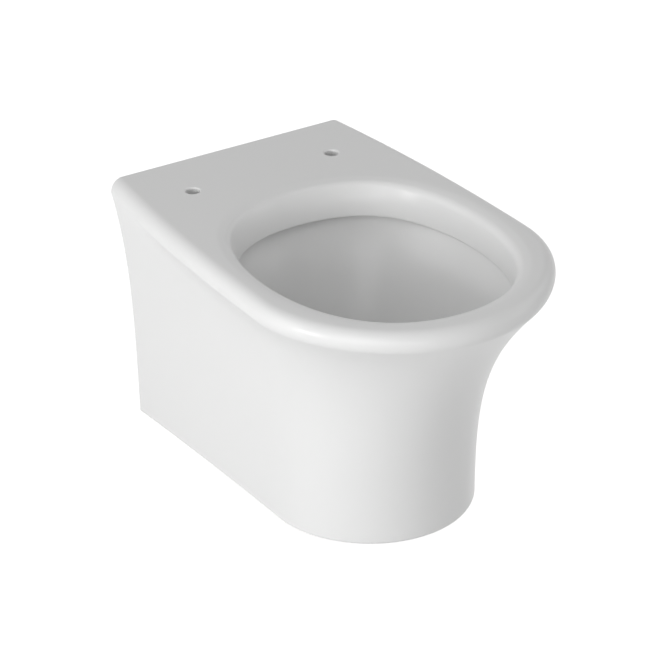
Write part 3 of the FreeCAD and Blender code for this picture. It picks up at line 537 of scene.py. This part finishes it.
# The back that meets the wall and the foot ring are ground flat after firing, so they are raw.
NEAR_FACE, foot_level = 1e-4, (RIM_TOP - PAN_HEIGHT) / 1000
middles = np.empty(3 * len(pan.data.polygons))
pan.data.polygons.foreach_get("center", middles)
bare = (middles[1::3] > -NEAR_FACE) | (middles[2::3] < foot_level + NEAR_FACE)
marks = np.empty(len(bare), dtype=np.int32)
pan.data.polygons.foreach_get("material_index", marks)
marks[bare] = pan.data.materials.find("raw_china")
pan.data.polygons.foreach_set("material_index", marks)
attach(pan, "pan")
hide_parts("pan_rim", "pan_bowl", "pan_skirt")

# Studs: two steel rods with rolled 12 mm threads at both ends and a plain shank between them,
# zinc plated. One end is fixed in the wall frame, and the other passes through the pan's back.
STUD_RADIUS, THREAD_PITCH, SHANK_RADIUS, STUD_POINT = 6.0, 1.75, 5.4, 1.5
STUD_TIP, SHANK_FRONT, SHANK_BACK, STUD_BACK = -40.5, -12.0, 4.0, 50.0
# depth of the thread, the flat of its root and its two flanks, as shares of the pitch
THREAD_DEPTH, ROOT_FLAT, FLANK = 0.6134, 0.25, 0.625
zinc_steel = finish(
    "zinc_steel", tones=((0.56, 0.57, 0.58), (0.68, 0.68, 0.665)), scale=90,
    gloss=(0.26, 0.42), grain_scale=1500, relief=(0.1, 0.0001))
zinc_steel.node_tree.nodes["Principled BSDF"].inputs["Metallic"].default_value = 1.0


def threaded_rod(side):
    """A rod's radius over its length and its turn: a ridge climbs one pitch a turn, flat on its crest
    for an eighth of the pitch and in its root for a quarter, fades into the shank, and is cut off at
    45 degrees at both ends."""
    along = np.linspace(STUD_TIP, STUD_BACK, 621)[:, None]
    angle = np.linspace(0, 2 * np.pi, 36, endpoint=False)
    phase = np.abs(2 * ((along / THREAD_PITCH - angle / (2 * np.pi)) % 1) - 1)
    depth = THREAD_DEPTH * THREAD_PITCH
    ridge = STUD_RADIUS - depth * (1 - np.clip((phase - ROOT_FLAT) / FLANK, 0, 1))
    away = np.abs(along - (SHANK_FRONT + SHANK_BACK) / 2) - (SHANK_BACK - SHANK_FRONT) / 2
    cut_in = np.clip(away / THREAD_PITCH, 0, 1)
    radius = SHANK_RADIUS + (ridge - SHANK_RADIUS) * cut_in
    from_end = np.minimum(along - STUD_TIP, STUD_BACK - along)
    radius = np.minimum(radius, STUD_RADIUS - STUD_POINT + from_end)
    radius, along = np.pad(radius, ((1, 1), (0, 0))), np.pad(along, ((1, 1), (0, 0)), "edge")
    return np.stack(np.broadcast_arrays(
        side * STUD_SPREAD / 2 + radius * np.cos(angle), along, radius * np.sin(angle)), -1)


for name, side in (("left_stud", -1), ("right_stud", 1)):
    rod = solid(name + "_rod", zinc_steel, [(threaded_rod(side), True)])
    rod.data.shade_smooth()
    rod.data.set_sharp_from_angle(angle=math.radians(32))
    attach(rod, "pan")
    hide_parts(name)

# Washers and nuts: pressed steel rings and hexagon nuts with both faces chamfered, zinc plated as
# the studs are. They draw the pan to the wall from inside the hollow.
for name in ("left_washer", "right_washer", "left_nut", "right_nut"):
    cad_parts[name].material_slots[0].material = zinc_steel

# Cushions: rings of black rubber between the china and the wall, cut from sheet.
black_rubber = finish(
    "black_rubber", tones=((0.028, 0.028, 0.03), (0.055, 0.055, 0.058)), scale=120,
    gloss=(0.62, 0.82), grain_scale=1800, relief=(0.3, 0.0002))
for name in ("left_cushion", "right_cushion"):
    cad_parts[name].material_slots[0].material = black_rubber

# Sleeves: flanged bushes of natural polyamide, moulded, which keep the steel off the china.
polyamide = finish(
    "polyamide", tones=((0.78, 0.77, 0.72), (0.85, 0.84, 0.80)), scale=60,
    gloss=(0.34, 0.5), grain_scale=900, relief=(0.08, 0.0001))
for name in ("left_sleeve", "right_sleeve"):
    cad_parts[name].material_slots[0].material = polyamide

# Flush pipe: a drawn tube of white polypropylene, with faint lines along its length, that pushes
# into the pan's inlet as far as its stop ring. The ribbed collar of black rubber seals it.
white_pipe = finish(
    "white_pipe", tones=((0.80, 0.80, 0.785), (0.86, 0.86, 0.85)), scale=70,
    gloss=(0.3, 0.44), grain_scale=600, relief=(0.12, 0.0001), stretch=(1, 0.06, 1))
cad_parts["flush_pipe"].material_slots[0].material = white_pipe
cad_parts["flush_seal"].material_slots[0].material = black_rubber

# Drain connector: a moulded pipe of black polyethylene whose socket slides over the pan's spigot.
# A lipped rubber ring in the socket's groove seals the two.
black_pipe = finish(
    "black_pipe", tones=((0.018, 0.018, 0.02), (0.035, 0.035, 0.037)), scale=50,
    gloss=(0.36, 0.52), grain_scale=500, relief=(0.15, 0.0001), stretch=(1, 0.08, 1))
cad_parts["drain_connector"].material_slots[0].material = black_pipe
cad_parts["drain_seal"].material_slots[0].material = black_rubber

# Studio: a pale floor that keeps the pan's shadow, and a white surround. The camera and the
# reflections see both as near white, and the rest of the light falls at its plain level.
FLOOR_REACH, FLOOR_LEVEL = 6, -0.32
floor_mesh = bpy.data.meshes.new("floor")
floor_mesh.from_pydata(
    [(x * FLOOR_REACH, y * FLOOR_REACH, FLOOR_LEVEL) for x, y in ((-1, -1), (1, -1), (1, 1), (-1, 1))],
    [], [(0, 1, 2, 3)])
floor = bpy.data.objects.new("floor", floor_mesh)
bpy.context.scene.collection.objects.link(floor)
pale_floor = finish(
    "pale_floor", tones=((0.60, 0.60, 0.60), (0.62, 0.62, 0.62)), scale=3,
    gloss=(0.85, 0.95), grain_scale=40, relief=(0.02, 0.001))
floor_mesh.materials.append(pale_floor)
surround = bpy.data.worlds.new("surround")
bpy.context.scene.world = surround
surround.use_nodes = True


def seen_level(tree, plain, mirrored, straight):
    """A light level: plain for the rays that light the pan, another for rays that meet it in a gloss
    or through a clear thing, and a third for those that the camera sees straight."""
    path = tree.nodes.new("ShaderNodeLightPath")
    level = tree.nodes.new("ShaderNodeValue").outputs[0]
    level.default_value = plain
    levels = {"Is Glossy Ray": mirrored, "Is Transmission Ray": mirrored, "Is Camera Ray": straight}
    for ray, rise in levels.items():
        step = tree.nodes.new("ShaderNodeMath")
        step.operation = "MULTIPLY_ADD"
        tree.links.new(path.outputs[ray], step.inputs[0])
        step.inputs[1].default_value = rise - plain
        tree.links.new(level, step.inputs[2])
        level = step.outputs[0]
    return level


floor_tree, surround_tree = pale_floor.node_tree, surround.node_tree
glow, both = floor_tree.nodes.new("ShaderNodeEmission"), floor_tree.nodes.new("ShaderNodeAddShader")
floor_glow = seen_level(floor_tree, plain=0.0, mirrored=0.8, straight=0.8)
floor_tree.links.new(floor_glow, glow.inputs["Strength"])
floor_tree.links.new(floor_tree.nodes["Principled BSDF"].outputs[0], both.inputs[0])
floor_tree.links.new(glow.outputs[0], both.inputs[1])
floor_tree.links.new(both.outputs[0], floor_tree.nodes["Material Output"].inputs["Surface"])
background = surround_tree.nodes["Background"]
background.inputs["Color"].default_value = (1, 1, 1, 1)
surround_level = seen_level(surround_tree, plain=0.33, mirrored=1.0, straight=1.0)
surround_tree.links.new(surround_level, background.inputs["Strength"])


def lamp(name, place, aim, size, power):
    """A square soft lamp that points from its place to its aim."""
    data = bpy.data.lights.new(name, "AREA")
    data.size, data.energy = size, power
    light = bpy.data.objects.new(name, data)
    light.location = place
    light.rotation_euler = (Vector(aim) - Vector(place)).to_track_quat("-Z", "Y").to_euler()
    bpy.context.scene.collection.objects.link(light)


pan_middle, WIDE, NARROW = (0, -0.26, -0.05), 1.6, 0.8
lamp("left_low", (-2.29, -2.18, 0.35), pan_middle, WIDE, 19.0)
lamp("left_high", (-1.91, -1.86, 1.63), pan_middle, WIDE, 11.8)
lamp("left_side", (-2.93, -0.52, 0.52), pan_middle, NARROW, 23.0)
lamp("front_low", (-1.01, -3.03, 0.52), pan_middle, NARROW, 6.0)
lamp("behind_high", (-2.25, 0.79, 1.63), pan_middle, WIDE, 9.8)
lamp("right_high", (2.49, -0.26, 1.63), pan_middle, WIDE, 8.4)
lamp("right_front", (2.44, -1.67, 0.98), pan_middle, NARROW, 4.8)

# Camera: a long lens, from the left and above. Its focal length is given in picture points.
SENSOR_WIDTH, PICTURE_SIDE, FOCAL_POINTS, CAMERA_DISTANCE = 36, 665, 3400, 3.795
turn_z, lift_x = math.radians(-32.98), math.radians(28.05)
camera_aim = Vector((-0.0288, -0.2664, -0.0357))
camera_data = bpy.data.cameras.new("camera")
camera_data.sensor_width = SENSOR_WIDTH
camera_data.lens = FOCAL_POINTS * SENSOR_WIDTH / PICTURE_SIDE
camera = bpy.data.objects.new("camera", camera_data)
back = Vector((
    math.sin(turn_z) * math.cos(lift_x), -math.cos(turn_z) * math.cos(lift_x), math.sin(lift_x)))
camera.location = camera_aim + back * CAMERA_DISTANCE
camera.rotation_euler = back.to_track_quat("Z", "Y").to_euler()
bpy.context.scene.collection.objects.link(camera)
bpy.context.scene.camera = camera
bpy.context.scene.view_settings.view_transform = "Standard"
